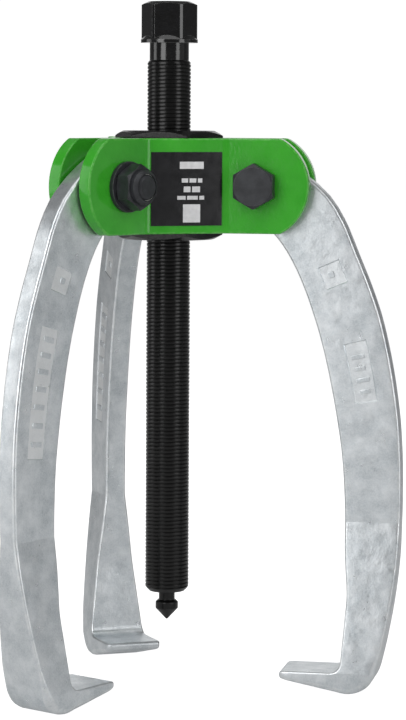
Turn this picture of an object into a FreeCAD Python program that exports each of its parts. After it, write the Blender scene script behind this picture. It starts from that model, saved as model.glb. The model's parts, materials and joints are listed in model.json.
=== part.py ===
"""Three-jaw gear puller: a screw in a hexagon hub nut, three bent yoke plates and three hooked jaws.

The origin is the tip of the centre point, +Z runs up the spindle's axis to the drive head,
and all sizes are in millimetres. Jaw 1 points close to +X; the others follow at 120 degrees.
"""

import FreeCAD, Part
import math
import os

Vector = FreeCAD.Vector
Z_AXIS = Vector(0, 0, 1)

# Layout
arm_count = 3
first_arm_azimuth = -11.5                 # degrees from +X
pivot_radius = 44.5                       # pivot bolt to spindle axis
pivot_height = 210.8                      # pivot bolts above the tip of the centre point
jaw_swing_at_rest = (0.0, 1.7, 1.4)       # degrees that each jaw is swung in from jaw 1's angle

# Spindle: G 1/2 parallel thread, 14 threads to the inch
thread_diameter = 20.955
thread_top = 59.9                         # heights are above the pivot plane
thread_bottom = -196.8
thread_end_round = 2.0
neck_diameter = 19.0
neck_top = 68.2
collar_diameter = 27.6
collar_height = 1.6
collar_cone_top = 72.4
drive_across_flats = 24.0
drive_corner_diameter = 26.9
drive_top = 88.1
drive_chamfer = 1.6
drive_turn = -5.0                         # degrees the hexagon stands turned at rest

# Centre point, held in a socket in the spindle's end
point_stem_diameter = 7.7
point_head_diameter = 10.9
point_head_top = -201.2
point_cone_top = -205.4
point_tip_flat_radius = 0.35
point_tip = -pivot_height
stem_length_in_socket = 15.0
socket_clearance = 0.05
ball_diameter = 7.0
ring_wire_diameter = 1.3
ring_groove_depth_from_end = 6.0

# Yoke: bent plates round the hub
plate_thickness = 7.0
plate_height = 45.4
clevis_gap = 12.2
middle_face_distance = 26.5               # spindle axis to the outer face of a plate's middle
plate_bend_radius = 6.5                   # on the hollow side
cheek_end_radius = 25.7
plate_bolt_hole_diameter = 12.5

# Hub nut
hub_across_flats = 46.0
hub_groove_diameter = 38.4
hub_flange_height = 3.4
hub_chamfer = 2.4
hub_bore_clearance = 0.05

# Pivot bolts, washers and lock nuts, size M12
bolt_diameter = 12.0
bolt_length = 40.0
bolt_head_height = 7.5
bolt_end_chamfer = 1.1
hex_across_flats = 19.0
hex_chamfer = 0.9
washer_diameter = 24.0
washer_bore_diameter = 13.0
washer_thickness = 2.3
nut_height = 10.8
nut_hex_height = 7.6
nut_collar_diameter = 16.2
nut_thread_clearance = 0.05
nylon_outer_diameter = 14.4
nylon_height = 2.2

# Jaws, drawn in the plane of the arm with the pivot at (0, 0)
jaw_thickness = 10.4
jaw_bore_clearance = 0.06
foot_width = 28.0
flare_start = -157.0
hook_face = -231.4
eye_radius = 16.5
hook_corner_radius = 5.0

# Label on the front plate
label_width = 35.5
label_height = 35.0
label_thickness = 0.3
label_centre_height = -1.3

cheek_outer = clevis_gap / 2 + plate_thickness


def arm_azimuth(index):
    """Direction of arm 0, 1 or 2 in degrees."""
    return first_arm_azimuth + index * 360.0 / arm_count


def turned_solid(profile):
    """A solid of revolution about Z from (radius, height) corners."""
    points = [Vector(r, 0, z) for r, z in profile]
    wire = Part.makePolygon(points + [points[0]])
    return Part.Face(wire).revolve(Vector(), Z_AXIS, 360)


def hexagon_prism(across_flats, height, corner_angle=0.0):
    """A hexagon bar standing on z = 0, with one corner at corner_angle degrees from +X."""
    corner_radius = across_flats / 2 / math.cos(math.pi / 6)
    corners = []
    for k in range(7):
        angle = math.radians(corner_angle + 60 * k)
        corners.append(Vector(corner_radius * math.cos(angle), corner_radius * math.sin(angle), 0))
    return Part.Face(Part.makePolygon(corners)).extrude(Vector(0, 0, height))


def cylinder(diameter, low, high):
    """A round bar about Z between two heights."""
    return Part.makeCylinder(diameter / 2, high - low, Vector(0, 0, low))


def onto_arm(shape, index):
    """Takes a shape drawn with X along the arm and the pivot plane at z = 0 to its arm."""
    placed = shape.copy()
    placed.rotate(Vector(), Z_AXIS, arm_azimuth(index))
    placed.translate(Vector(0, 0, pivot_height))
    return placed


def onto_pivot_axis(shape, offset):
    """Turns a shape drawn along +Z to lie along the pivot axis, offset from the arm's plane."""
    placed = shape.copy()
    placed.rotate(Vector(), Vector(1, 0, 0), -90)
    placed.translate(Vector(pivot_radius, offset, 0))
    return placed


def save(name, shape):
    """Writes one sub-part after removing seams left by its boolean steps."""
    clean = shape.removeSplitter()
    assert clean.isValid() and len(clean.Solids) == 1, name
    clean.Solids[0].exportStep("parts/" + name + ".step")


def spindle():
    """The forcing screw: drive hexagon, collar, neck, thread and the socket for the centre point."""
    thread_radius = thread_diameter / 2
    neck_radius = neck_diameter / 2
    collar_radius = collar_diameter / 2
    corner_radius = drive_corner_diameter / 2
    head_envelope = turned_solid([
        (0, neck_top),
        (collar_radius, neck_top),
        (collar_radius, neck_top + collar_height),
        (drive_across_flats / 2 - 0.6, collar_cone_top),
        (0, collar_cone_top),
    ])
    bar = hexagon_prism(drive_across_flats, drive_top - neck_top, drive_turn)
    bar.translate(Vector(0, 0, neck_top))
    turned_bar = turned_solid([
        (0, neck_top),
        (corner_radius, neck_top),
        (corner_radius, drive_top - drive_chamfer),
        (corner_radius - 2 * drive_chamfer, drive_top),
        (0, drive_top),
    ])
    shank = turned_solid([
        (0, thread_bottom),
        (thread_radius - thread_end_round, thread_bottom),
        (thread_radius, thread_bottom + thread_end_round),
        (thread_radius, thread_top - 1.0),
        (neck_radius, thread_top),
        (neck_radius, neck_top),
        (0, neck_top),
    ])
    solid = shank.fuse([head_envelope, bar.common(turned_bar)])
    socket_radius = point_stem_diameter / 2 + socket_clearance
    socket_depth = stem_length_in_socket + ball_diameter + 0.1
    socket = cylinder(2 * socket_radius, thread_bottom, thread_bottom + socket_depth)
    groove = Part.makeTorus(
        socket_radius,
        ring_wire_diameter / 2 + 0.05,
        Vector(0, 0, thread_bottom + ring_groove_depth_from_end),
    )
    return solid.cut(socket.fuse(groove))


def centre_point():
    """The point that stays still on the shaft while the spindle turns."""
    stem_radius = point_stem_diameter / 2
    head_radius = point_head_diameter / 2
    groove_height = thread_bottom + ring_groove_depth_from_end
    groove_half = ring_wire_diameter / 2 + 0.1
    groove_radius = stem_radius - ring_wire_diameter / 2 - 0.1
    return turned_solid([
        (0, point_tip),
        (point_tip_flat_radius, point_tip),
        (head_radius, point_cone_top),
        (head_radius, point_head_top - 1.2),
        (head_radius - 1.2, point_head_top),
        (stem_radius, point_head_top),
        (stem_radius, groove_height - groove_half),
        (groove_radius, groove_height - groove_half),
        (groove_radius, groove_height + groove_half),
        (stem_radius, groove_height + groove_half),
        (stem_radius, thread_bottom + stem_length_in_socket - 0.6),
        (stem_radius - 0.6, thread_bottom + stem_length_in_socket),
        (0, thread_bottom + stem_length_in_socket),
    ])


def thrust_ball():
    """The ball between the stem's end and the bottom of the socket."""
    centre = thread_bottom + stem_length_in_socket + ball_diameter / 2
    return Part.makeSphere(ball_diameter / 2, Vector(0, 0, centre + 0.05))


def point_ring():
    """The wire ring that keeps the stem in its socket."""
    height = thread_bottom + ring_groove_depth_from_end
    ring_radius = point_stem_diameter / 2 + socket_clearance
    return Part.makeTorus(ring_radius, ring_wire_diameter / 2, Vector(0, 0, height))


def hub_nut():
    """A hexagon bar nut whose turned groove holds the three plates between two flanges."""
    half = plate_height / 2
    top = half + hub_flange_height
    corner_radius = hub_across_flats / 2 / math.cos(math.pi / 6)
    face_radius = hub_across_flats / 2 - 1.0
    bar = hexagon_prism(hub_across_flats, 2 * top, first_arm_azimuth)
    bar.translate(Vector(0, 0, -top))
    envelope = turned_solid([
        (0, -top),
        (face_radius, -top),
        (corner_radius, -top + hub_chamfer),
        (corner_radius, top - hub_chamfer),
        (face_radius, top),
        (0, top),
    ])
    groove = cylinder(4 * corner_radius, -half, half).cut(cylinder(hub_groove_diameter, -half, half))
    bore_radius = thread_diameter / 2 + hub_bore_clearance
    bore = turned_solid([
        (0, -top),
        (bore_radius + 1.2, -top),
        (bore_radius, -top + 1.2),
        (bore_radius, top - 1.2),
        (bore_radius + 1.2, top),
        (0, top),
    ])
    return bar.common(envelope).cut(groove.fuse(bore))


def plate_face_line(face_distance, bend_radius, cheek_reach):
    """One face of a plate in plan: straight middle, two 30 degree bends and two straight cheeks.

    The middle lies at x = face_distance. Returns the edges from -Y to +Y, and the two end points.
    """
    bend = math.radians(30)
    arm_offset = cheek_outer - (middle_face_distance - face_distance)
    corner = Vector(face_distance, math.sqrt(3) * face_distance - 2 * arm_offset, 0)
    tangent = bend_radius * math.tan(bend / 2)
    along_cheek = Vector(math.sin(bend), math.cos(bend), 0)
    arm_direction = Vector(math.cos(2 * bend), math.sin(2 * bend), 0)
    start = corner - Vector(0, tangent, 0)
    centre = start + Vector(bend_radius, 0, 0)
    middle = centre + Vector(-math.cos(bend / 2), math.sin(bend / 2), 0) * bend_radius
    end = corner + along_cheek * tangent
    tip = corner + along_cheek * (cheek_reach - corner.dot(arm_direction))
    low_start, low_middle, low_end, low_tip = (
        Vector(p.x, -p.y, 0) for p in (start, middle, end, tip))
    edges = [
        Part.LineSegment(low_tip, low_end).toShape(),
        Part.Arc(low_end, low_middle, low_start).toShape(),
        Part.LineSegment(low_start, start).toShape(),
        Part.Arc(start, middle, end).toShape(),
        Part.LineSegment(end, tip).toShape(),
    ]
    return edges, low_tip, tip


def yoke_plate(index):
    """The plate on the clockwise side of arm `index`; it also serves the arm before that one."""
    reach = pivot_radius + cheek_end_radius
    hollow_side, hollow_low, hollow_high = plate_face_line(
        middle_face_distance, plate_bend_radius, reach)
    hub_side, hub_low, hub_high = plate_face_line(
        middle_face_distance - plate_thickness, plate_bend_radius + plate_thickness, reach)
    far_end = Part.LineSegment(hollow_high, hub_high).toShape()
    near_end = Part.LineSegment(hub_low, hollow_low).toShape()
    outline = Part.Wire(hollow_side + [far_end] + hub_side[::-1] + [near_end])
    plate = Part.Face(outline).extrude(Vector(0, 0, plate_height))
    plate.translate(Vector(0, 0, -plate_height / 2))
    plate.rotate(Vector(), Z_AXIS, -180 / arm_count)
    for turn in (0, -360 / arm_count):
        plate = plate.cut(cheek_trim(turn))
    return onto_arm(plate, index)


def cheek_trim(turn):
    """What is cut from a plate at one arm: the bolt hole and all outside the round cheek end."""
    depth = 2 * cheek_outer + 4
    block = Part.makeBox(40, depth, 60, Vector(pivot_radius, -depth / 2, -30))
    rounded_end = onto_pivot_axis(Part.makeCylinder(cheek_end_radius, depth), -depth / 2)
    hole = onto_pivot_axis(Part.makeCylinder(plate_bolt_hole_diameter / 2, depth), -depth / 2)
    trim = block.cut(rounded_end).fuse(hole)
    trim.rotate(Vector(), Z_AXIS, turn)
    return trim


def pivot_bolt(index):
    """A hexagon bolt whose head lies on the clockwise cheek and whose shank is the jaw's pivot."""
    corner_radius = hex_across_flats / 2 / math.cos(math.pi / 6)
    head = hexagon_prism(hex_across_flats, bolt_head_height, 90)
    envelope = turned_solid([
        (0, 0),
        (hex_across_flats / 2 - 0.4, 0),
        (corner_radius, hex_chamfer),
        (corner_radius, bolt_head_height),
        (0, bolt_head_height),
    ])
    shank_end = bolt_head_height + bolt_length
    radius = bolt_diameter / 2
    shank = turned_solid([
        (0, bolt_head_height - 0.5),
        (radius, bolt_head_height - 0.5),
        (radius, shank_end - bolt_end_chamfer),
        (radius - bolt_end_chamfer, shank_end),
        (0, shank_end),
    ])
    bolt = head.common(envelope).fuse(shank)
    return onto_arm(onto_pivot_axis(bolt, -cheek_outer - bolt_head_height), index)


def washer(index):
    """The plain washer under the lock nut."""
    ring = cylinder(washer_diameter, 0, washer_thickness)
    ring = ring.cut(cylinder(washer_bore_diameter, 0, washer_thickness))
    return onto_arm(onto_pivot_axis(ring, cheek_outer), index)


def lock_nut(index):
    """A hexagon nut with a round collar that holds its nylon ring."""
    corner_radius = hex_across_flats / 2 / math.cos(math.pi / 6)
    bore_radius = bolt_diameter / 2 + nut_thread_clearance
    pocket_radius = nylon_outer_diameter / 2 + 0.05
    pocket_floor = nut_height - nylon_height - 0.7
    collar_radius = nut_collar_diameter / 2
    bar = hexagon_prism(hex_across_flats, nut_hex_height, 90).common(turned_solid([
        (0, 0),
        (hex_across_flats / 2 - 0.2, 0),
        (corner_radius, hex_chamfer),
        (corner_radius, nut_hex_height - hex_chamfer),
        (hex_across_flats / 2 - 0.2, nut_hex_height),
        (0, nut_hex_height),
    ]))
    collar = turned_solid([
        (0, nut_hex_height - 0.5),
        (collar_radius, nut_hex_height - 0.5),
        (collar_radius, nut_height - 1.6),
        (collar_radius - 1.2, nut_height),
        (0, nut_height),
    ])
    bore = turned_solid([
        (0, 0),
        (bore_radius + 0.8, 0),
        (bore_radius, 0.8),
        (bore_radius, pocket_floor),
        (pocket_radius, pocket_floor),
        (pocket_radius, pocket_floor + nylon_height),
        (bore_radius + 0.2, pocket_floor + nylon_height),
        (bore_radius + 0.2, nut_height),
        (0, nut_height),
    ])
    nut = bar.fuse(collar).cut(bore)
    return onto_arm(onto_pivot_axis(nut, cheek_outer + washer_thickness), index)


def nylon_ring(index):
    """The locking ring inside a lock nut."""
    low = nut_height - nylon_height - 0.7
    bore = bolt_diameter + 2 * nut_thread_clearance
    ring = cylinder(nylon_outer_diameter, low, low + nylon_height)
    ring = ring.cut(cylinder(bore, low, low + nylon_height))
    return onto_arm(onto_pivot_axis(ring, cheek_outer + washer_thickness), index)


def jaw_outline():
    """The jaw's side view: eye, hollow inner edge, hook, heel and bowed back, as one closed face."""
    def at(u, z):
        return Vector(u, 0, z)

    eye_start = math.radians(57)
    eye_end = math.radians(255)
    eye_middle = (eye_start + eye_end) / 2
    top = at(eye_radius * math.cos(eye_start), eye_radius * math.sin(eye_start))
    side = at(eye_radius * math.cos(eye_middle), eye_radius * math.sin(eye_middle))
    under = at(eye_radius * math.cos(eye_end), eye_radius * math.sin(eye_end))
    fillet_top = at(42.3, hook_face + hook_corner_radius)
    fillet_end = at(42.3 - hook_corner_radius, hook_face)
    fillet_side = at(
        42.3 - hook_corner_radius * (1 - math.sqrt(0.5)),
        hook_face + hook_corner_radius * (1 - math.sqrt(0.5)))
    heel_start = at(42.8, -241.5)
    heel_middle = at(55.4, -237.7)
    heel_end = at(59.0, -231.4)
    inner = Part.BSplineCurve()
    inner.interpolate(
        Points=[under, at(13.7, -30.8), at(24.9, -54.7), at(33.4, -83.4), at(39.0, -112),
                at(42.6, -145), at(44.0, -185), fillet_top],
        InitialTangent=at(math.cos(math.radians(-15)), math.sin(math.radians(-15))),
        FinalTangent=at(-0.08, -1))
    back = Part.BSplineCurve()
    back.interpolate(
        Points=[heel_end, at(65.6, -200.5), at(68.6, -178), at(69.9, -145), at(68.6, -112),
                at(64.4, -83.4), at(57.0, -54.7), at(47.5, -30.8), at(35.2, -6.4),
                at(24.8, 3.9), top],
        InitialTangent=at(0.25, 0.97),
        FinalTangent=at(-0.84, 0.545))
    edges = [
        Part.Arc(top, side, under).toShape(),
        inner.toShape(),
        Part.Arc(fillet_top, fillet_side, fillet_end).toShape(),
        Part.LineSegment(fillet_end, at(14.3, hook_face)).toShape(),
        Part.Arc(at(14.3, hook_face), at(12.8, hook_face - 1.8), at(14.6, hook_face - 4.2)).toShape(),
        Part.LineSegment(at(14.6, hook_face - 4.2), heel_start).toShape(),
        Part.Arc(heel_start, heel_middle, heel_end).toShape(),
        back.toShape(),
    ]
    return Part.Face(Part.Wire(edges))


def jaw_front_view():
    """The jaw seen along the arm: parallel sides that flare out to the broad foot."""
    half = jaw_thickness / 2
    foot = foot_width / 2
    corners = [
        (-half, 30), (-half, flare_start), (-foot, hook_face), (-foot, -250),
        (foot, -250), (foot, hook_face), (half, flare_start), (half, 30),
    ]
    points = [Vector(0, y, z) for y, z in corners]
    return Part.Face(Part.makePolygon(points + [points[0]]))


def jaw(index):
    """A hooked jaw on its arm, swung to its rest angle about the pivot bolt."""
    side = jaw_outline()
    side.translate(Vector(0, -foot_width, 0))
    body = side.extrude(Vector(0, 2 * foot_width, 0))
    front = jaw_front_view()
    front.translate(Vector(-60, 0, 0))
    body = body.common(front.extrude(Vector(180, 0, 0)))
    bore_radius = bolt_diameter / 2 + jaw_bore_clearance
    bore = Part.makeCylinder(bore_radius, 60, Vector(0, -30, 0), Vector(0, 1, 0))
    body = body.cut(bore)
    body.rotate(Vector(), Vector(0, 1, 0), jaw_swing_at_rest[index])
    body.translate(Vector(pivot_radius, 0, 0))
    return onto_arm(body, index)


def label():
    """The plain label on the middle of the front plate."""
    plate = Part.makeBox(
        label_thickness, label_width, label_height,
        Vector(middle_face_distance, -label_width / 2, label_centre_height - label_height / 2))
    plate.rotate(Vector(), Z_AXIS, -180 / arm_count)
    return onto_arm(plate, 0)


def main():
    os.makedirs("parts", exist_ok=True)
    lift = Vector(0, 0, pivot_height)
    for name, shape in (
        ("spindle", spindle()),
        ("centre_point", centre_point()),
        ("thrust_ball", thrust_ball()),
        ("point_ring", point_ring()),
        ("hub_nut", hub_nut()),
    ):
        shape.translate(lift)
        save(name, shape)
    for index in range(arm_count):
        number = "_" + str(index + 1)
        save("yoke_plate" + number, yoke_plate(index))
        save("jaw" + number, jaw(index))
        save("pivot_bolt" + number, pivot_bolt(index))
        save("washer" + number, washer(index))
        save("lock_nut" + number, lock_nut(index))
        save("nylon_ring" + number, nylon_ring(index))
    save("label", label())


main()
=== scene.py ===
"""Looks of the three-jaw gear puller: pieces, finishes, lights and camera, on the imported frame."""
import bpy
import bmesh
import json
from math import cos, hypot, pi, radians, sin
from mathutils import Matrix, Vector

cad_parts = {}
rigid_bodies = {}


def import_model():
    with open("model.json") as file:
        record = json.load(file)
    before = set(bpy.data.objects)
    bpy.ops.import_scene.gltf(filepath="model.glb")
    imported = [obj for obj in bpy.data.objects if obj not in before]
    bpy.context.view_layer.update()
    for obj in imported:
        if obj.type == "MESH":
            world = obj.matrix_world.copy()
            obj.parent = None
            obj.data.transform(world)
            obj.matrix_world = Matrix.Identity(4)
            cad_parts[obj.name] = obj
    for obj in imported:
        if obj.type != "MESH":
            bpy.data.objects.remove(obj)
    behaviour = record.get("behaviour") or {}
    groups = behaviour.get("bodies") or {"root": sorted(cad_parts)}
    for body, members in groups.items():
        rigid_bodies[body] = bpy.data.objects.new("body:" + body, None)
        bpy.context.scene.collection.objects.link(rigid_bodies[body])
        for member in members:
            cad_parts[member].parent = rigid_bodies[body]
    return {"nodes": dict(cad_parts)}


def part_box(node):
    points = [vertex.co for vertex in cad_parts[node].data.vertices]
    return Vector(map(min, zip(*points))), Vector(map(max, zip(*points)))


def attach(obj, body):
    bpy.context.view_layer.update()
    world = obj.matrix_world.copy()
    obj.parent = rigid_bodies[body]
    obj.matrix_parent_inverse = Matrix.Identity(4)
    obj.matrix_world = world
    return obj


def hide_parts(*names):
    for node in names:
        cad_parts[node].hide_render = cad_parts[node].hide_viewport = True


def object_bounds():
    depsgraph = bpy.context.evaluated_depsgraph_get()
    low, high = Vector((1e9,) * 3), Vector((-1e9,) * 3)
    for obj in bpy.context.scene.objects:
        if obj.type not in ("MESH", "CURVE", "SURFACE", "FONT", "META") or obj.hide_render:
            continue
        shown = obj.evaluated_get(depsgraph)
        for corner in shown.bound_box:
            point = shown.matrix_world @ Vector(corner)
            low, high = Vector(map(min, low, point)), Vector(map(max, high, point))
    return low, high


for leftover in list(bpy.data.objects):
    bpy.data.objects.remove(leftover)

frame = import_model()
cad_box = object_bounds()
MM = 0.001
bolt_low, bolt_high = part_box("pivot_bolt_1")
pivot_height = (bolt_low.z + bolt_high.z) / 2
pivot_radius = 44.5 * MM
first_arm = -11.5                         # degrees from +X
rest_swing = (0.0, 1.7, 1.4)              # degrees that each jaw is swung in at rest

thread_crest = 20.955 / 2 * MM
thread_root = thread_crest - 0.38 * MM
thread_pitch = 25.4 / 14 * MM
thread_low = pivot_height - 196.8 * MM
thread_high = pivot_height + 59.9 * MM
thread_steps = 30                         # in one turn
thread_end_round = 2.0 * MM
thread_into_neck = 0.6 * MM               # the thread bar goes on into the drive head by this
head_above_thread = 0.02 * MM
neck_radius = 9.5 * MM
neck_gap = 0.05 * MM
run_out_slope = 0.9                       # how fast the thread sinks into the neck
socket_radius = 3.9 * MM
socket_depth = 22.1 * MM
# One turn of the thread, as shares of its pitch and of its depth.
thread_ridge = (
    (0.0, 0.0), (0.07, 0.04), (0.17, 0.88), (0.24, 1.0),
    (0.76, 1.0), (0.83, 0.88), (0.93, 0.04), (1.0, 0.0))


# ---------------------------------------------------------------- finishes

def add(tree, kind, links=None, **settings):
    """One shader node; links holds its inputs, as plain values or as sockets to join."""
    made = tree.nodes.new(kind)
    for key, value in settings.items():
        setattr(made, key, value)
    for key, value in (links or {}).items():
        if isinstance(value, bpy.types.NodeSocket):
            tree.links.new(value, made.inputs[key])
        else:
            made.inputs[key].default_value = value
    return made


def new_group(name, inputs, outputs):
    """An empty node group with named number inputs and outputs."""
    tree = bpy.data.node_groups.new(name, "ShaderNodeTree")
    for label, value in inputs.items():
        socket = tree.interface.new_socket(label, in_out="INPUT", socket_type="NodeSocketFloat")
        socket.default_value = value
    for label in outputs:
        tree.interface.new_socket(label, in_out="OUTPUT", socket_type="NodeSocketFloat")
    return tree, tree.nodes.new("NodeGroupInput").outputs, tree.nodes.new("NodeGroupOutput").inputs


def object_noise(tree, scale, stretch=(1, 1, 1), detail=4.0, roughness=0.55):
    """Noise in the object's own coordinates."""
    place = add(tree, "ShaderNodeTexCoord")
    turned = add(tree, "ShaderNodeMapping", {"Vector": place.outputs["Object"], "Scale": stretch})
    return add(tree, "ShaderNodeTexNoise", {
        "Vector": turned.outputs["Vector"], "Scale": scale, "Detail": detail,
        "Roughness": roughness}).outputs["Fac"]


def spread(tree, value, low, high, to_low=0.0, to_high=1.0):
    """Stretches the band from low to high over the wanted range."""
    return add(tree, "ShaderNodeMapRange", {
        "Value": value, "From Min": low, "From Max": high,
        "To Min": to_low, "To Max": to_high}).outputs["Result"]


def maths(tree, operation, first, second):
    """One sum of two values or sockets."""
    return add(tree, "ShaderNodeMath", {0: first, 1: second}, operation=operation).outputs["Value"]


def mottle_group():
    """Cloudy patches, between Low and High."""
    tree, given, out = new_group("mottle", {"Scale": 60, "Low": 0, "High": 1}, ["Value"])
    broad = object_noise(tree, given["Scale"], detail=6.0, roughness=0.62)
    result = spread(tree, broad, 0.33, 0.67, given["Low"], given["High"])
    tree.links.new(result, out["Value"])
    return tree


def edge_wear_and_highlight_group():
    """Where the rounded edges are made lighter, partly as wear and partly as a painted highlight: the edge
    mark broken up by noise.
    """
    tree, given, out = new_group("edge_wear_and_highlight", {"Scale": 300, "Amount": 0.5}, ["Mask"])
    mark = add(tree, "ShaderNodeAttribute", attribute_name="edge").outputs["Fac"]
    patches = spread(tree, object_noise(tree, given["Scale"]), 0.40, 0.58)
    wear_and_highlight = maths(tree, "MULTIPLY", mark, patches)
    tree.links.new(maths(tree, "MULTIPLY", wear_and_highlight, given["Amount"]), out["Mask"])
    return tree


def forged_skin_group():
    """Height of a forged and plated skin: broad dents and fine grain."""
    tree, given, out = new_group("forged_skin", {"Scale": 120, "Grain": 0.4}, ["Height"])
    dents = object_noise(tree, given["Scale"], detail=3.0)
    fine = object_noise(tree, maths(tree, "MULTIPLY", given["Scale"], 9.0), detail=5.0)
    rough = maths(tree, "MULTIPLY", fine, given["Grain"])
    tree.links.new(maths(tree, "ADD", dents, rough), out["Height"])
    return tree


def rubbed_lines_group():
    """Fine marks that run up and down a turned or handled bar."""
    tree, given, out = new_group("rubbed_lines", {"Scale": 900, "Amount": 1}, ["Value"])
    lines = object_noise(tree, given["Scale"], stretch=(1, 1, 0.06), detail=3.0)
    result = maths(tree, "MULTIPLY", spread(tree, lines, 0.42, 0.68), given["Amount"])
    tree.links.new(result, out["Value"])
    return tree


def settled_dust_group():
    """Thin dust on what faces up."""
    tree, given, out = new_group("settled_dust", {"Scale": 160, "Amount": 0.2}, ["Mask"])
    facing = add(tree, "ShaderNodeTexCoord").outputs["Normal"]
    up = spread(tree, add(tree, "ShaderNodeSeparateXYZ", {"Vector": facing}).outputs["Z"], 0.55, 1.0)
    patches = spread(tree, object_noise(tree, given["Scale"], detail=6.0), 0.38, 0.7)
    dusty = maths(tree, "MULTIPLY", up, patches)
    tree.links.new(maths(tree, "MULTIPLY", dusty, given["Amount"]), out["Mask"])
    return tree


mottle = mottle_group()
edge_wear_and_highlight = edge_wear_and_highlight_group()
forged_skin = forged_skin_group()
rubbed_lines = rubbed_lines_group()
settled_dust = settled_dust_group()


def from_group(tree, group, **values):
    """Places a group with its own values and gives its only output."""
    return add(tree, "ShaderNodeGroup", values, node_tree=group).outputs[0]


def blended(tree, factor, first, second):
    """Mixes two colours, each a plain colour or a socket."""
    made = tree.nodes.new("ShaderNodeMix")
    made.data_type = "RGBA"
    for socket, value in ((made.inputs[0], factor), (made.inputs[6], first), (made.inputs[7], second)):
        if isinstance(value, bpy.types.NodeSocket):
            tree.links.new(value, socket)
        else:
            socket.default_value = (*value, 1) if isinstance(value, tuple) else value
    return made.outputs[2]


def new_material(name, **constants):
    """A material with one Principled shader; constants go straight on its sockets."""
    material = bpy.data.materials.new(name)
    material.use_nodes = True
    tree = material.node_tree
    shader = tree.nodes["Principled BSDF"]
    for key, value in constants.items():
        shader.inputs[key.replace("_", " ")].default_value = value
    return material, tree, shader


def join(tree, shader, colour, roughness, height, depth):
    """Feeds colour, roughness and a bump of the given depth in metres to the shader."""
    tree.links.new(colour, shader.inputs["Base Color"])
    tree.links.new(roughness, shader.inputs["Roughness"])
    bump = add(tree, "ShaderNodeBump", {"Height": height, "Distance": depth, "Strength": 1.0})
    tree.links.new(bump.outputs["Normal"], shader.inputs["Normal"])


def green_paint():
    """Glossy green paint over steel, with a little flow in its surface."""
    material, tree, shader = new_material(
        "green_paint_gloss", Metallic=0.0, Coat_Weight=0.15, Coat_Roughness=0.05,
        Specular_IOR_Level=0.32)
    clouds = from_group(tree, mottle, Scale=55, Low=0.0, High=1.0)
    colour = blended(tree, clouds, (0.033, 0.335, 0.018), (0.050, 0.400, 0.028))
    # The edges are painted a lighter green, partly as wear and partly as a painted highlight.
    wear_and_highlight = from_group(tree, edge_wear_and_highlight, Scale=420, Amount=0.20)
    colour = blended(tree, wear_and_highlight, colour, (0.28, 0.62, 0.20))
    dust = from_group(tree, settled_dust, Scale=300, Amount=0.10)
    colour = blended(tree, dust, colour, (0.6, 0.62, 0.55))
    roughness = from_group(tree, mottle, Scale=210, Low=0.10, High=0.17)
    flow = object_noise(tree, 650, detail=2.0)
    join(tree, shader, colour, roughness, flow, 0.00005)
    return material


def zinc_forging():
    """Forged steel plated with satin zinc, cloudy and slightly dented."""
    material, tree, shader = new_material("zinc_forging_satin", Metallic=0.85)
    clouds = from_group(tree, mottle, Scale=95, Low=0.0, High=1.0)
    colour = blended(tree, clouds, (0.47, 0.515, 0.545), (0.75, 0.785, 0.81))
    spots = from_group(tree, mottle, Scale=1300, Low=0.0, High=0.42)
    colour = blended(tree, spots, colour, (0.86, 0.88, 0.89))
    # The floors of the sunk fields are painted near-white: a painted reflection.
    painted_field_sheen = add(tree, "ShaderNodeAttribute", attribute_name="painted_field_sheen").outputs["Fac"]
    colour = blended(tree, maths(tree, "MULTIPLY", painted_field_sheen, 0.6), colour, (0.95, 0.96, 0.96))
    # The edges are painted lighter, partly as wear and partly as a painted highlight.
    wear_and_highlight = from_group(tree, edge_wear_and_highlight, Scale=260, Amount=0.45)
    colour = blended(tree, wear_and_highlight, colour, (0.86, 0.87, 0.87))
    roughness = from_group(tree, mottle, Scale=150, Low=0.27, High=0.42)
    skin = from_group(tree, forged_skin, Scale=170, Grain=0.22)
    join(tree, shader, colour, roughness, skin, 0.00016)
    return material


def blackened(name, dark, light, gloss, matt, edge, rubbed, shine):
    """Oil-blackened steel: nearly black, with its edges painted brighter, partly as wear and partly as a
    painted highlight.
    """
    material, tree, shader = new_material(name, Metallic=0.15, Specular_IOR_Level=shine)
    clouds = from_group(tree, mottle, Scale=170, Low=0.0, High=1.0)
    colour = blended(tree, clouds, dark, light)
    lines = from_group(tree, rubbed_lines, Scale=900, Amount=rubbed)
    colour = blended(tree, lines, colour, tuple(2.0 * part for part in light))
    wear_and_highlight = from_group(tree, edge_wear_and_highlight, Scale=500, Amount=edge)
    colour = blended(tree, wear_and_highlight, colour, (0.30, 0.30, 0.30))
    dust = from_group(tree, settled_dust, Scale=420, Amount=0.04)
    colour = blended(tree, dust, colour, (0.3, 0.3, 0.29))
    roughness = from_group(tree, mottle, Scale=260, Low=gloss, High=matt)
    grain = from_group(tree, forged_skin, Scale=420, Grain=0.3)
    join(tree, shader, colour, roughness, grain, 0.00004)
    return material


def plain_finish(name, dark, light, metallic, gloss, matt, scale, depth):
    """A fine-grained finish for the small parts."""
    material, tree, shader = new_material(name, Metallic=metallic)
    colour = blended(tree, from_group(tree, mottle, Scale=scale, Low=0.0, High=1.0), dark, light)
    # The edges are painted lighter, partly as wear and partly as a painted highlight.
    colour = blended(tree, from_group(tree, edge_wear_and_highlight, Scale=600, Amount=0.3), colour,
                     tuple(min(1.0, 1.5 * part) for part in light))
    roughness = from_group(tree, mottle, Scale=2 * scale, Low=gloss, High=matt)
    grain = from_group(tree, forged_skin, Scale=3 * scale, Grain=0.5)
    join(tree, shader, colour, roughness, grain, depth)
    return material


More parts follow.
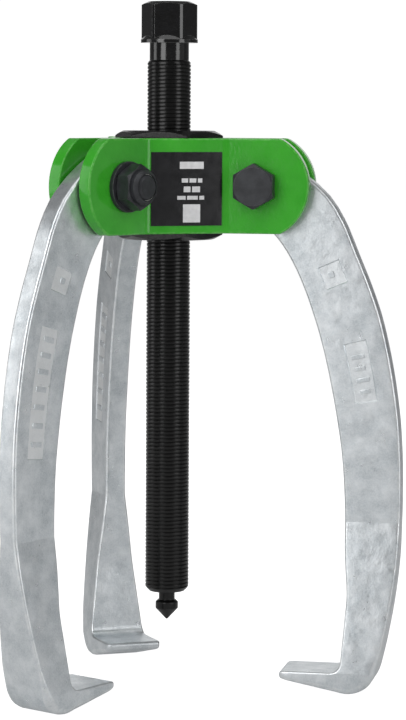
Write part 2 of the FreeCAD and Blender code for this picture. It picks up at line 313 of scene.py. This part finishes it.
paint = green_paint()
zinc = zinc_forging()
black_screw = blackened(
    "black_screw_oiled", (0.002, 0.002, 0.002), (0.005, 0.005, 0.005),
    gloss=0.17, matt=0.26, edge=0.06, rubbed=0.12, shine=0.38)
black_head = blackened(
    "black_head_polished", (0.003, 0.003, 0.003), (0.006, 0.006, 0.007),
    gloss=0.09, matt=0.14, edge=0.5, rubbed=0.0, shine=0.8)
black_bolt = blackened(
    "black_bolt_oiled", (0.017, 0.018, 0.021), (0.036, 0.038, 0.043),
    gloss=0.34, matt=0.46, edge=0.12, rubbed=0.0, shine=0.4)
nylon = plain_finish(
    "nylon_natural", (0.62, 0.64, 0.60), (0.74, 0.75, 0.70),
    metallic=0.0, gloss=0.4, matt=0.55, scale=300, depth=0.00002)
film = plain_finish(
    "label_black_film", (0.006, 0.006, 0.007), (0.010, 0.010, 0.012),
    metallic=0.0, gloss=0.12, matt=0.18, scale=150, depth=0.00001)
print_ink = plain_finish(
    "label_white_print", (0.60, 0.60, 0.61), (0.72, 0.72, 0.73),
    metallic=0.0, gloss=0.3, matt=0.42, scale=400, depth=0.00001)
ball_steel = plain_finish(
    "ball_polished", (0.55, 0.56, 0.57), (0.66, 0.67, 0.68),
    metallic=1.0, gloss=0.10, matt=0.18, scale=400, depth=0.00001)
spring_wire = plain_finish(
    "spring_wire", (0.30, 0.30, 0.31), (0.42, 0.42, 0.43),
    metallic=1.0, gloss=0.25, matt=0.40, scale=500, depth=0.00001)


# ---------------------------------------------------------------- shaping

def merged_copy(node):
    """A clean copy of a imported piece: loose corners joined and flat faces made whole."""
    bm = bmesh.new()
    bm.from_mesh(frame["nodes"][node].data)
    bmesh.ops.remove_doubles(bm, verts=bm.verts, dist=1e-6)
    bmesh.ops.dissolve_limit(bm, angle_limit=radians(0.4), verts=bm.verts, edges=bm.edges)
    bm.faces.layers.float.new("edge")
    return bm


def everything(bm):
    """All that a mesh holds, for an operator that takes it whole."""
    return bm.verts[:] + bm.edges[:] + bm.faces[:]


def round_edges(bm, width, segments=3):
    """Rounds every edge that turns more than 25 degrees, and marks the new faces as edge."""
    sharp = [edge for edge in bm.edges
             if edge.is_manifold and edge.calc_face_angle(0.0) > radians(25.0)]
    made = bmesh.ops.bevel(
        bm, geom=sharp, offset=width, segments=segments, profile=0.5,
        affect="EDGES", clamp_overlap=True, material=-1)
    mark = bm.faces.layers.float.get("edge") or bm.faces.layers.float.new("edge")
    for face in made["faces"]:
        face[mark] = 1.0


def finished(name, bm, body, material, crease=38.0):
    """Turns the shaped mesh into a piece that rides on a body."""
    for face in bm.faces:
        face.smooth = True
    for edge in bm.edges:
        if edge.calc_face_angle(0.0) > radians(crease):
            edge.smooth = False
    mesh = bpy.data.meshes.new(name)
    bm.to_mesh(mesh)
    bm.free()
    mesh.materials.append(material)
    piece = bpy.data.objects.new(name, mesh)
    bpy.context.scene.collection.objects.link(piece)
    steady = piece.modifiers.new("flat_faces_stay_flat", "WEIGHTED_NORMAL")
    steady.keep_sharp = True
    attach(piece, body)
    return piece


def rounded(node, name, width, body, material, segments=3):
    """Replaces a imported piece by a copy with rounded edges."""
    bm = merged_copy(node)
    round_edges(bm, width, segments)
    piece = finished(name, bm, body, material)
    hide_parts(node)


def open_loop(bm, height):
    """The open edges that lie at one height."""
    return [edge for edge in bm.edges
            if edge.is_boundary and all(abs(v.co.z - height) < 1e-5 for v in edge.verts)]


def threaded_bar():
    """The spindle's thread as a true helix, cut level at both ends, with the socket in its foot."""
    bm = bmesh.new()
    depth = thread_crest - thread_root
    start = thread_low - thread_pitch * 1.5
    line = [bm.verts.new((thread_root + depth * rise, 0, start + thread_pitch * along))
            for along, rise in thread_ridge]
    edges = [bm.edges.new(pair) for pair in zip(line, line[1:])]
    bmesh.ops.spin(
        bm, geom=line + edges, cent=(0, 0, 0), axis=(0, 0, 1), angle=2 * pi,
        dvec=(0, 0, thread_pitch / thread_steps), steps=thread_steps)
    turn = everything(bm)
    turns = int((thread_high - thread_low) / thread_pitch) + 3
    for _ in range(turns):
        turn = bmesh.ops.duplicate(bm, geom=turn)["geom"]
        moved = [item for item in turn if isinstance(item, bmesh.types.BMVert)]
        bmesh.ops.translate(bm, verts=moved, vec=(0, 0, thread_pitch))
    bmesh.ops.remove_doubles(bm, verts=bm.verts, dist=2e-6)
    top_end = thread_high + thread_into_neck
    for height, side in ((thread_low, -1), (top_end, 1)):
        bmesh.ops.bisect_plane(
            bm, geom=everything(bm), plane_co=(0, 0, height),
            plane_no=(0, 0, side), clear_outer=True, dist=1e-7)
    for vert in bm.verts:
        radius = hypot(vert.co.x, vert.co.y)
        foot = thread_crest - thread_end_round + (vert.co.z - thread_low)
        top = neck_radius - neck_gap + (thread_high - vert.co.z) * run_out_slope
        limit = min(foot, top)
        if radius > limit:
            vert.co.x *= limit / radius
            vert.co.y *= limit / radius
    bmesh.ops.holes_fill(bm, edges=open_loop(bm, top_end))
    mouth = bmesh.ops.create_circle(
        bm, segments=32, radius=socket_radius,
        matrix=Matrix.Translation((0, 0, thread_low)))["verts"]
    rim = [edge for edge in bm.edges if all(v in mouth for v in edge.verts)]
    foot_edges = [edge for edge in open_loop(bm, thread_low) if edge not in rim]
    bmesh.ops.bridge_loops(bm, edges=rim + foot_edges)
    wall = bmesh.ops.extrude_edge_only(bm, edges=rim)["geom"]
    deep = [item for item in wall if isinstance(item, bmesh.types.BMVert)]
    bmesh.ops.translate(bm, verts=deep, vec=(0, 0, socket_depth))
    bmesh.ops.holes_fill(bm, edges=[e for e in bm.edges if e.is_boundary])
    bmesh.ops.recalc_face_normals(bm, faces=bm.faces)
    piece = finished("spindle_thread", bm, "spindle", black_screw, crease=60.0)
    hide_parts("spindle")


def drive_head():
    """Neck, collar and hexagon at the top of the spindle."""
    bm = merged_copy("spindle")
    bmesh.ops.bisect_plane(
        bm, geom=everything(bm), plane_co=(0, 0, thread_high + head_above_thread),
        plane_no=(0, 0, -1), clear_outer=True, dist=1e-7)
    bmesh.ops.holes_fill(bm, edges=[edge for edge in bm.edges if edge.is_boundary])
    round_edges(bm, 0.3 * MM, 3)
    finished("spindle_drive_head", bm, "spindle", black_head)


# ---------------------------------------------------------------- jaws

def jaw_place(index):
    """From a jaw's own drawing, pivot at zero and X along the arm, to its place at rest."""
    azimuth = radians(first_arm + 120 * index)
    return (Matrix.Translation((0, 0, pivot_height)) @ Matrix.Rotation(azimuth, 4, "Z")
            @ Matrix.Translation((pivot_radius, 0, 0))
            @ Matrix.Rotation(radians(rest_swing[index]), 4, "Y"))


# Cross-sections of a jaw from the eye down to the hook's tip, in millimetres from the pivot:
# inner end (along the arm, height), outer end (along the arm, height), and how much the
# section is narrowed on each side.
jaw_sections = (
    (-15.5, 5.6, -14.5, 7.9, 0.9), (-16.3, 2.5, -12.7, 10.5, 0.3), (-16.5, -1.0, -10.2, 13.0, 0),
    (-15.8, -4.9, -6.9, 15.0, 0), (-14.0, -8.7, -2.8, 16.3, 0), (-11.0, -12.3, 1.9, 16.4, 0),
    (-4.3, -15.9, 9.0, 13.8, 0), (4.3, -20.0, 22.2, 5.7, 0), (9.5, -25.0, 33.8, -4.6, 0),
    (13.7, -30.8, 40.8, -15.4, 0), (17.0, -36.5, 44.5, -23.5, 0), (20.1, -42.8, 47.5, -30.9, 0),
    (22.3, -48.0, 49.9, -36.7, 0), (24.3, -53.0, 52.2, -42.1, 0), (26.7, -60.0, 55.2, -49.8, 0),
    (29.2, -67.6, 58.3, -58.6, 0), (30.6, -72.6, 60.0, -64.4, 0), (32.0, -77.6, 61.5, -70.2, 0),
    (34.0, -86.0, 63.6, -79.5, 0), (35.9, -95.0, 65.5, -89.5, 0), (37.8, -105.0, 67.2, -100.3, 0),
    (39.4, -114.5, 68.5, -110.7, 0), (40.9, -124.3, 69.3, -121.6, 0), (41.9, -134.0, 69.8, -132.6, 0),
    (42.6, -145.0, 69.9, -144.4, 0), (43.0, -155.0, 69.8, -155.0, 0), (43.1, -166.0, 69.4, -166.0, 0),
    (43.3, -175.0, 68.9, -175.0, 0), (44.0, -185.0, 67.9, -185.0, 0), (44.7, -195.0, 66.5, -195.0, 0),
    (44.0, -205.0, 64.8, -205.0, 0), (43.2, -215.0, 62.8, -215.0, 0), (42.7, -221.5, 61.4, -221.5, 0),
    (42.3, -226.4, 60.0, -227.5, 0), (42.1, -227.7, 59.0, -231.4, 0), (41.6, -228.9, 57.6, -234.8, 0),
    (40.8, -229.9, 55.4, -237.7, 0), (39.8, -230.7, 52.5, -239.9, 0), (38.6, -231.2, 48.6, -241.4, 0),
    (37.3, -231.4, 44.6, -241.75, 0), (35.0, -231.4, 40.5, -241.0, 0), (31.0, -231.4, 34.0, -239.7, 0),
    (26.0, -231.4, 27.2, -238.2, 0), (21.0, -231.4, 21.3, -237.0, 0), (16.4, -231.4, 16.6, -236.0, 0),
    (14.6, -231.4, 14.8, -235.5, 0.3), (13.2, -232.0, 13.4, -234.9, 0.9), (12.8, -232.8, 12.85, -234.1, 1.7))


def with_middles(sections):
    """Adds a cross-section halfway between each pair, on a smooth curve through its neighbours."""
    result = [sections[0]]
    last = len(sections) - 1
    for at in range(last):
        around = [sections[max(0, min(last, at + step))] for step in (-1, 0, 1, 2)]
        gaps = [hypot(b[2] - a[2], b[3] - a[3]) for a, b in zip(around, around[1:])]
        curved = 0 < at < last - 1 and max(gaps) < 3.0 * min(gaps)
        shares = (-1 / 16, 9 / 16, 9 / 16, -1 / 16) if curved else (0, 0.5, 0.5, 0)
        result.append(tuple(
            sum(share * row[part] for share, row in zip(shares, around)) for part in range(5)))
        result.append(sections[at + 1])
    return tuple(result)


jaw_sections = with_middles(jaw_sections)
bore_radius = 6.06 * MM
# The rest of a jaw's sizes are in millimetres from its pivot, as its cross-sections are.
side_face = 5.2
foot_side = 14.0
flare_top = -160.0
flare_end = -231.4
# Sunk fields; a table with keys 1 and -1 gives both sides of the jaw.
field_depth = 0.4
field_slope = {1: (0.4, 0.4), -1: (0.8, 0.4)}     # depth at the upper end and at the lower end
field_wall = {1: 0.35, -1: 0.4}                   # width of the wall
small_field = (22, 26)                            # first and last cross-section
long_field = {1: (30, 44), -1: (34, 40)}
field_edges = (0.33, 0.70)                        # shares of the width, from the inner edge
bar_thickness = 0.5
bar_rise = 0.2                                    # a bar's middle above the field's floor
# Raised bars: place along the arm and height, and length where it varies.
long_field_bars = (
    (45.4, -68.5), (47.5, -75.6), (49.4, -83.0), (51.0, -91.0),
    (52.4, -99.0), (53.6, -107.5), (54.6, -116.0))
short_field_bars = ((48.6, -81.0, 6.4), (50.1, -86.5, 4.6), (51.3, -92.0, 6.4), (52.3, -97.5, 5.0))


def section_ring(inner_u, inner_z, outer_u, outer_z, narrow):
    """The corners of one cross-section: a flat bar with rounded edges, the outer ones larger."""
    inner, outer = Vector((inner_u, 0, inner_z)), Vector((outer_u, 0, outer_z))
    across = outer - inner
    wide = across.length
    across.normalize()
    side = side_face - narrow
    low = min(1.0, max(0.0, (-165.0 - outer_z) / 60.0))
    heel = min(1.0, max(0.0, (-219.0 - outer_z) / 16.0))
    inner_round = min(1.2 - 0.3 * low, 0.3 * wide)
    outer_round = min(1.6 - 0.6 * low + 2.6 * heel, 0.35 * wide, 0.75 * side)
    half = [(inner_round * (1 - sin(radians(t))), side - inner_round * (1 - cos(radians(t))))
            for t in (90, 60, 30, 0)]
    half += [(min(part * wide, (0.5 + 0.4 * part) * (wide - outer_round)), side)
             for part in field_edges]
    half += [(wide - outer_round * (1 - sin(radians(t))), side - outer_round * (1 - cos(radians(t))))
             for t in (0, 30, 60, 90)]
    whole = half + [(s, -v) for s, v in reversed(half)]
    return [(inner + across * s + Vector((0, v, 0))) * MM for s, v in whole]


def lofted_bar():
    """The jaw as a bar of rounded section, grown from its eye to its tip."""
    bm = bmesh.new()
    ring = [bm.verts.new(corner) for corner in section_ring(*jaw_sections[0])]
    edges = [bm.edges.new(pair) for pair in zip(ring, ring[1:] + ring[:1])]
    for row in jaw_sections[1:]:
        before = set(bm.verts)
        grown = bmesh.ops.extrude_edge_only(bm, edges=edges)["geom"]
        edges = [item for item in grown if isinstance(item, bmesh.types.BMEdge)]
        follow = {}
        for edge in bm.edges:
            ends = [vert in before for vert in edge.verts]
            if ends[0] != ends[1]:
                old, new = edge.verts if ends[0] else reversed(edge.verts)
                follow[old] = new
        ring = [follow[vert] for vert in ring]
        for vert, corner in zip(ring, section_ring(*row)):
            vert.co = corner
    bmesh.ops.holes_fill(bm, edges=[edge for edge in bm.edges if edge.is_boundary])
    bmesh.ops.recalc_face_normals(bm, faces=bm.faces)
    return bm


def reach(face):
    """How near a face comes to the pivot, seen along the pivot."""
    corners = [Vector((loop.vert.co.x, loop.vert.co.z)) for loop in face.loops]
    if pivot_inside(corners):
        return 0.0
    nearest = []
    for first, second in zip(corners, corners[1:] + corners[:1]):
        along = second - first
        share = min(1.0, max(0.0, -first.dot(along) / max(along.length_squared, 1e-18)))
        nearest.append((first + along * share).length)
    return min(nearest)


def pivot_inside(corners):
    """Whether the pivot lies inside a flat polygon: it is on the same side of every edge."""
    turns = [first.x * second.y - first.y * second.x
             for first, second in zip(corners, corners[1:] + corners[:1])]
    return all(turn > 0 for turn in turns) or all(turn < 0 for turn in turns)


def bore_eye(bm):
    """The hole for the pivot bolt, through both sides of the eye."""
    rims = []
    for side in (1, -1):
        near = [face for face in bm.faces
                if face.normal.y * side > 0.99 and reach(face) < bore_radius + 0.5 * MM]
        bmesh.ops.delete(bm, geom=near, context="FACES")
        edge_of_gap = [edge for edge in bm.edges if edge.is_boundary and edge not in rims
                       and all(vert.co.y * side > 0 for vert in edge.verts)]
        place = (Matrix.Translation((0, side * side_face * MM, 0))
                 @ Matrix.Rotation(radians(90), 4, "X"))
        circle = set(bmesh.ops.create_circle(
            bm, segments=40, radius=bore_radius, matrix=place)["verts"])
        rim = [edge for edge in bm.edges if all(vert in circle for vert in edge.verts)]
        bmesh.ops.triangle_fill(bm, use_beauty=True, edges=edge_of_gap + rim, normal=(0, side, 0))
        rims += rim
    bmesh.ops.bridge_loops(bm, edges=rims)
    bmesh.ops.recalc_face_normals(bm, faces=bm.faces)


def between(face, rows, side):
    """Whether a face lies on one side of the jaw, inside a field's columns and rows."""
    middle = face.calc_center_median() / MM
    if side * middle.y < side_face - 0.01 or face.normal.y * side < 0.99:
        return False
    for row in range(*rows):
        corners = []
        for section in (jaw_sections[row], jaw_sections[row + 1]):
            inner, outer = Vector((section[0], section[1])), Vector((section[2], section[3]))
            corners += [inner.lerp(outer, part) for part in field_edges]
        centre = sum(corners, Vector((0, 0))) / 4
        if (Vector((middle.x, middle.z)) - centre).length < 0.6:
            return True
    return False


def sink_fields(bm):
    """Presses the marking fields into both sides; their floors get a painted reflection."""
    mark = bm.faces.layers.float.get("edge")
    painted_field_sheen = bm.faces.layers.float.new("painted_field_sheen")
    for side in (1, -1):
        for rows in (small_field, long_field[side]):
            floor_faces = [face for face in bm.faces if between(face, rows, side)]
            walls = bmesh.ops.inset_region(
                bm, faces=floor_faces, thickness=field_wall[side] * MM, depth=-field_depth * MM,
                use_even_offset=True)
            high, low = (jaw_sections[row][1] + jaw_sections[row][3] for row in rows)
            for vert in {vert for face in floor_faces for vert in face.verts}:
                share = min(1.0, max(0.0, (2 * vert.co.z / MM - high) / (low - high)))
                deep, shallow = field_slope[side]
                vert.co.y = side * (side_face - deep - (shallow - deep) * share) * MM
            # The floors are marked for the painted reflection, fully on one side and more weakly on the
            # other.
            for face in floor_faces:
                face[painted_field_sheen] = 1.0 if side > 0 else 0.35
            # The walls get half the edge mark, so they are painted lighter, partly as wear and partly as a
            # painted highlight.
            for face in walls["faces"]:
                face[mark] = 0.5
                face[painted_field_sheen] = 0.0
                for edge in face.edges:
                    edge.smooth = False


def flare_foot(bm):
    """Spreads the sides into the broad foot, with a crease where the spread starts and ends."""
    for height in (flare_top, flare_end):
        bmesh.ops.bisect_plane(
            bm, geom=everything(bm), plane_co=(0, 0, height * MM),
            plane_no=(0, 0, 1), dist=4e-5)
    bmesh.ops.dissolve_degenerate(bm, dist=2e-5, edges=bm.edges)
    for vert in bm.verts:
        drop = (flare_top * MM - vert.co.z) / ((flare_top - flare_end) * MM)
        spread_by = (foot_side - side_face) * MM * min(1.0, max(0.0, drop))
        half = abs(vert.co.y)
        if half > 1e-6:
            vert.co.y *= (half + spread_by) / half
    for edge in bm.edges:
        level = [abs(vert.co.z - height * MM) < 5e-5
                 for height in (flare_top, flare_end) for vert in edge.verts]
        if level[0] and level[1] or level[2] and level[3]:
            edge.smooth = False


def dash(bm, centre, length, width, lean, side):
    """One plain raised bar on the floor of a field."""
    block = bmesh.ops.create_cube(bm, size=1.0)["verts"]
    bmesh.ops.scale(bm, verts=block, vec=(length * MM, bar_thickness * MM, width * MM))
    bmesh.ops.rotate(
        bm, verts=block, cent=(0, 0, 0), matrix=Matrix.Rotation(radians(lean), 3, "Y"))
    height = side * (side_face - field_depth + bar_rise)
    bmesh.ops.translate(bm, verts=block, vec=(centre[0] * MM, height * MM, centre[1] * MM))


def field_marks(index):
    """Plain parallel bars across the fields."""
    bm = bmesh.new()
    bm.faces.layers.float.new("edge")
    for row, place in enumerate(long_field_bars):
        dash(bm, place, 6.6, 2.6, -16 + 1.5 * row, 1)
    for along, height, length in short_field_bars:
        dash(bm, (along, height), length, 2.0, -12, -1)
    for side in (1, -1):
        dash(bm, (35.6, -42.0), 3.0, 2.8, -22, side)
    round_edges(bm, 0.18 * MM, 2)
    bm.transform(jaw_place(index))
    finished("jaw_%d_marks" % (index + 1), bm, "jaw_%d" % (index + 1), zinc)


def forged_jaw(index):
    """A jaw with the rounded edges of a forging and its sunk fields."""
    node = "jaw_%d" % (index + 1)
    bm = lofted_bar()
    mark = bm.faces.layers.float.new("edge")
    # The faces of the rounded edges get the edge mark, so they are painted lighter, partly as wear and
    # partly as a painted highlight.
    for face in bm.faces:
        if 0.15 < abs(face.normal.y) < 0.98:
            face[mark] = 1.0
    sink_fields(bm)
    bore_eye(bm)
    flare_foot(bm)
    bm.transform(jaw_place(index))
    piece = finished(node + "_forging", bm, node, zinc, crease=50.0)
    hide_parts(node)
    field_marks(index)


# ---------------------------------------------------------------- label

def label_place():
    """From a drawing on the label, X to the right and Z up, to the label's face."""
    low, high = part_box("label")
    facing = Matrix.Rotation(radians(first_arm - 60 + 90), 4, "Z")
    face_distance = 26.8 * MM
    return (Matrix.Translation((0, 0, (low.z + high.z) / 2)) @ facing
            @ Matrix.Translation((0, -face_distance, 0)))


def printed_block(bm, centre, size):
    """One white block of print."""
    block = bmesh.ops.create_cube(bm, size=1.0)["verts"]
    bmesh.ops.scale(bm, verts=block, vec=(size[0] * MM, 0.08 * MM, size[1] * MM))
    bmesh.ops.translate(bm, verts=block, vec=(centre[0] * MM, 0, centre[1] * MM))


def label_print():
    """Plain marks in place of print: a wide block, three rows of bars and a square."""
    bm = bmesh.new()
    for centre, size in (
            ((2.5, 11.2), (12.0, 3.4)),
            ((-0.9, 4.0), (3.2, 2.0)), ((3.1, 4.0), (3.4, 2.0)), ((6.7, 4.0), (2.2, 2.0)),
            ((0.2, -0.2), (3.4, 2.7)), ((4.7, -0.2), (4.0, 2.7)),
            ((-2.6, -4.2), (4.2, 1.8)), ((2.9, -4.2), (5.4, 1.8)), ((7.6, -4.2), (2.4, 1.8)),
            ((2.5, -11.6), (8.6, 8.6))):
        printed_block(bm, centre, size)
    bm.faces.layers.float.new("edge")
    bm.transform(label_place())
    finished("label_print", bm, "yoke", print_ink)


# ---------------------------------------------------------------- the whole puller

threaded_bar()
drive_head()
rounded("hub_nut", "hub_nut_bar", 0.35 * MM, "yoke", black_screw, 2)
rounded("centre_point", "centre_point_bar", 0.2 * MM, "point", black_screw, 2)
rounded("label", "label_film_sheet", 0.1 * MM, "yoke", film, 2)
label_print()
for arm in range(3):
    number = "_%d" % (arm + 1)
    forged_jaw(arm)
    rounded("yoke_plate" + number, "yoke_plate_painted" + number,
            0.9 * MM, "yoke", paint, 3)
    for fastener in ("pivot_bolt", "washer", "lock_nut"):
        rounded(fastener + number, fastener + "_steel" + number,
                0.3 * MM, "yoke", black_bolt, 2)
    frame["nodes"]["nylon_ring" + number].data.materials[0] = nylon
frame["nodes"]["thrust_ball"].data.materials[0] = ball_steel
frame["nodes"]["point_ring"].data.materials[0] = spring_wire


# ---------------------------------------------------------------- studio

def soft_light(name, azimuth, distance, height, size, watts):
    """A soft box aimed at the middle of the puller; azimuth 0 is beside the camera."""
    data = bpy.data.lights.new(name, "AREA")
    data.shape = "RECTANGLE"
    data.size, data.size_y = size
    data.energy = watts
    lamp = bpy.data.objects.new(name, data)
    middle = (cad_box[0] + cad_box[1]) / 2
    turn = radians(azimuth)
    lamp.location = middle + Vector((sin(turn) * distance, -cos(turn) * distance, height))
    lamp.visible_camera = False
    lamp.rotation_mode = "QUATERNION"
    lamp.rotation_quaternion = (middle - lamp.location).to_track_quat("-Z", "Y")
    bpy.context.scene.collection.objects.link(lamp)


def floor():
    """A plain pale floor under the jaws' feet."""
    bm = bmesh.new()
    bmesh.ops.create_grid(bm, x_segments=1, y_segments=1, size=30.0)
    bmesh.ops.translate(bm, verts=bm.verts, vec=(0, 0, cad_box[0].z - 0.0002))
    mesh = bpy.data.meshes.new("floor")
    bm.to_mesh(mesh)
    bm.free()
    material, tree, shader = new_material(
        "pale_floor", Base_Color=(0.5, 0.5, 0.5, 1), Roughness=0.9, Specular_IOR_Level=0.1)
    shader.inputs["Emission Color"].default_value = (1, 1, 1, 1)
    seen = add(tree, "ShaderNodeLightPath").outputs["Is Camera Ray"]
    tree.links.new(spread(tree, seen, 0, 1, 0.22, 0.95), shader.inputs["Emission Strength"])
    mesh.materials.append(material)
    plane = bpy.data.objects.new("floor", mesh)
    bpy.context.scene.collection.objects.link(plane)


def room():
    """White backdrop for the camera, dimmer for what the metal reflects."""
    world = bpy.data.worlds.new("studio")
    bpy.context.scene.world = world
    world.use_nodes = True
    tree = world.node_tree
    back = tree.nodes["Background"]
    back.inputs["Color"].default_value = (1, 1, 1, 1)
    seen = add(tree, "ShaderNodeLightPath").outputs["Is Camera Ray"]
    tree.links.new(spread(tree, seen, 0, 1, 0.13, 1.05), back.inputs["Strength"])
    bpy.context.scene.view_settings.view_transform = "Standard"


def camera():
    """View from the front, a little above the pivots and pitched slightly down."""
    data = bpy.data.cameras.new("camera")
    data.sensor_width = 36.0
    data.lens = 143.42
    data.shift_y = -0.1848
    data.clip_end = 100.0
    view = bpy.data.objects.new("camera", data)
    view.location = (-0.0006, -1.3838, pivot_height + 0.0387)
    aside, down, roll = -0.714, 2.444, 0.30
    turn = (Matrix.Rotation(radians(aside), 4, "Z") @ Matrix.Rotation(radians(90 - down), 4, "X")
            @ Matrix.Rotation(radians(roll), 4, "Z"))
    view.rotation_mode = "QUATERNION"
    view.rotation_quaternion = turn.to_quaternion()
    bpy.context.scene.collection.objects.link(view)
    bpy.context.scene.camera = view


floor()
room()
camera()
soft_light("left_box", -36, 1.3, 0.63, (0.74, 1.6), 11.8)
soft_light("left_rim", -91, 1.3, 0.05, (0.5, 1.5), 4.0)
soft_light("right_box", 50.5, 1.25, 0.30, (0.48, 1.7), 6.4)
soft_light("right_rim", 80, 1.25, 0.20, (0.70, 1.7), 0.7)
soft_light("top_box", 0, 0.25, 1.3, (1.0, 1.0), 4.0)
soft_light("back_box", 180, 1.3, 0.33, (1.1, 0.8), 2.2)
